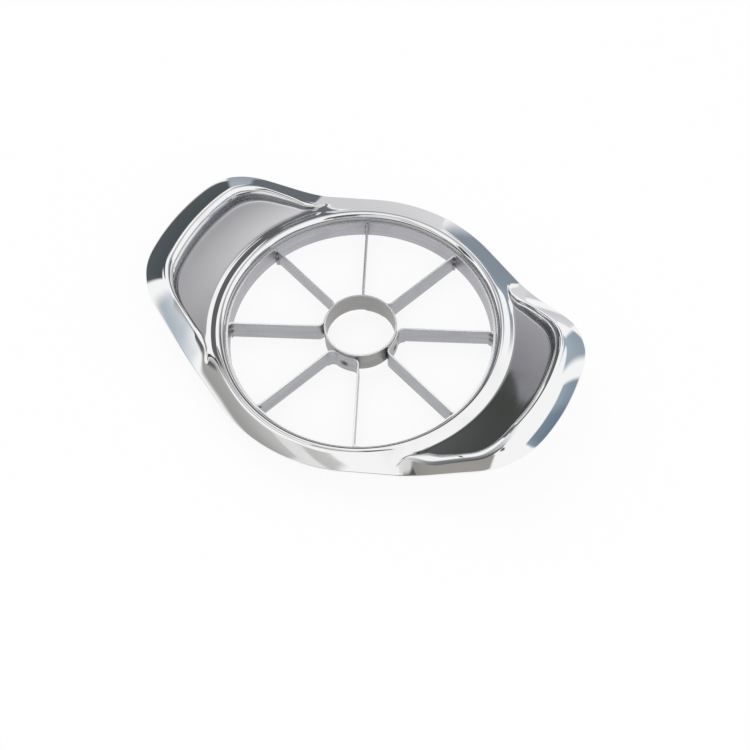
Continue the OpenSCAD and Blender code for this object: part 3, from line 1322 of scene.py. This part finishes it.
@dataclass(frozen=True)
class StudioCamera:
    """The photograph's viewpoint, worked out from the rings' ellipses and the frame's outline.

    Angles are in degrees; distance, shifts, lens and sensor are in millimetres.
    """

    azimuth: float = -58.74
    elevation: float = 59.59
    roll: float = -1.15
    distance: float = 347.68
    right: float = 5.11
    up: float = -18.56
    lens: float = 48.0
    sensor: float = 36.0
    clip: Span = (0.01, 20.0)

    def build(self, lip_z: float) -> None:
        """Build the camera and make it the scene's own.

        Args:
            lip_z: height of the lip's top above the ground, in millimetres.
        """
        level_x, level_y = polar(1.0, self.azimuth)
        out, high = polar(1.0, self.elevation)
        back = Vector((out * level_x, out * level_y, high))
        level = Vector((-level_y, level_x, 0.0))
        rise = back.cross(level)
        cos_roll, sin_roll = polar(1.0, self.roll)
        across = level * cos_roll + rise * sin_roll
        upward = rise * cos_roll - level * sin_roll
        place = across * self.right + upward * self.up + back * self.distance
        place.z += lip_z
        data = bpy.data.cameras.new("camera")
        data.lens = self.lens
        data.sensor_width = self.sensor
        data.clip_start, data.clip_end = self.clip
        camera = add_object("camera", data)
        turn = Matrix((across, upward, back)).transposed()
        camera.matrix_world = Matrix.Translation(place * MM) @ turn.to_4x4()
        bpy.context.scene.camera = camera


def tent_panels() -> list[TentPanel]:
    """List the tent's panels, which put the photograph's greys into the polish.

    Returns:
        The panels, from the left wing round to the canopy.
    """
    return [
        # Left wing: flag along its end and its rear side, haze at its corners
        TentPanel("left flag", (156.5, 203), (9, 30), (32, 34, 35), (29, 32, 33), 84.0),
        TentPanel("left upper flag", (156, 184), (28, 46), (36, 37, 37), (38, 39, 40), 84.2),
        TentPanel("left groove flag", (152, 226), (-3, 7), (37, 37, 38), (36, 36, 37), 57.0,
                  fade=(3, 1.5), climb=5.0),
        TentPanel("left corner haze", (138, 159), (-8, 30), (56, 59, 62), (66, 69, 72), 84.4),
        TentPanel("left front haze", (207, 235), (10, 50), (65, 69, 72), (84, 86, 88), 84.6,
                  fade=(8, 9)),
        TentPanel("left rear flag", (130, 156), (-12, 50), (39, 41, 43), (39, 41, 42), 70.0),
        TentPanel("left rear end flag", (133.5, 142), (-12, 52), (39, 41, 43), (39, 41, 42), 63.2,
                  fade=(1, 2)),
        TentPanel("left rear slope", (96, 134.5), (46, 80), (41, 42, 43), (26, 27, 26), 63.4,
                  climb=-42.0),
        # Rims: light along the rear, haze to the right, veil along the front
        TentPanel("rear light", (88, 134.5), (-8, 44), (83, 83, 84), (79, 79, 80), 63.0,
                  fade=(1.5, 3), climb=-40.0),
        TentPanel("rear low light", (46, 94), (-10, 2), (84, 84, 85), (82, 82, 83), 63.6,
                  fade=(3, 1)),
        TentPanel("rear haze", (77, 103), (18.3, 57), (50, 54, 58), (55, 59, 63), 250.0,
                  fade=(5, 4), form=Form.DOME),
        TentPanel("front rim flag", (178, 206), (80, 130), (32, 32, 31), (30, 30, 30), 63.8,
                  climb=-58.0),
        TentPanel("front rim veil", (205, 266), (4, 42), (60, 60, 59), (72, 72, 71), 64.0,
                  fade=(4, 5), climb=28.0),
        TentPanel("front rim shade", (222, 304), (30, 100), (82, 82, 81), (87, 87, 87), 64.2,
                  fade=(8, 8)),
        TentPanel("front rim dusk", (236, 288), (88, 170), (72, 72, 71), (76, 76, 75), 64.4,
                  fade=(8, 10)),
        # Right wing: two flags of haze along its end, a dark room in front
        TentPanel("right end flag", (-13, 6), (12, 29), (42, 47, 52), (46, 52, 58), 84.7,
                  fade=(6, 2)),
        TentPanel("right flag", (-13, 13), (12, 29), (50, 55, 60), (56, 62, 67), 84.8),
        TentPanel("right corner haze", (17, 39), (7, 38), (56, 61, 65), (60, 66, 70), 85.0,
                  fade=(4, 3)),
        TentPanel("right rear sheen", (38, 76), (-10, 10), (77, 77, 79), (82, 82, 84), 85.2,
                  fade=(3, 3)),
        TentPanel("front flag", (268, 332), (84, 190), (33, 34, 34), (33, 34, 34), 85.4,
                  fade=(3, 5), climb=-32.0),
        TentPanel("front room", (269, 323), (36, 108), (60, 59, 57), (52, 51, 49), 85.6,
                  fade=(3, 6), climb=-18.0),
        # Canopy over the ring, which the floors of both recesses see
        TentPanel("floor flag", (96, 128), (24, 43.5), (27, 28, 27), (28, 29, 28), 90.0,
                  fade=(3, 1), form=Form.DOME),
        TentPanel("floor veil", (97, 146), (39, 76), (50, 50, 52), (90, 90, 90), 90.5,
                  fade=(2.5, 2), form=Form.DOME),
    ]


def main() -> None:
    """Build every sub-assembly in order and report it."""
    scene = bpy.context.scene
    scene.view_settings.view_transform = PLAIN_VIEW
    frame_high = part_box("frame")[1]
    lip_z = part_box("blade_band")[1][2] / MM + LIP_OVER_COLLAR
    effects = Effects()
    pressed = PressedFrame(end_r=frame_high[0] / MM, side_r=frame_high[1] / MM, lip_z=lip_z)
    pressed.build(MirrorSteel().build(effects))
    BladeStar(effects).dress()
    Studio(tent_height=lip_z, panels=tent_panels()).build()
    StudioCamera().build(lip_z)


if __name__ == "__main__":
    main()
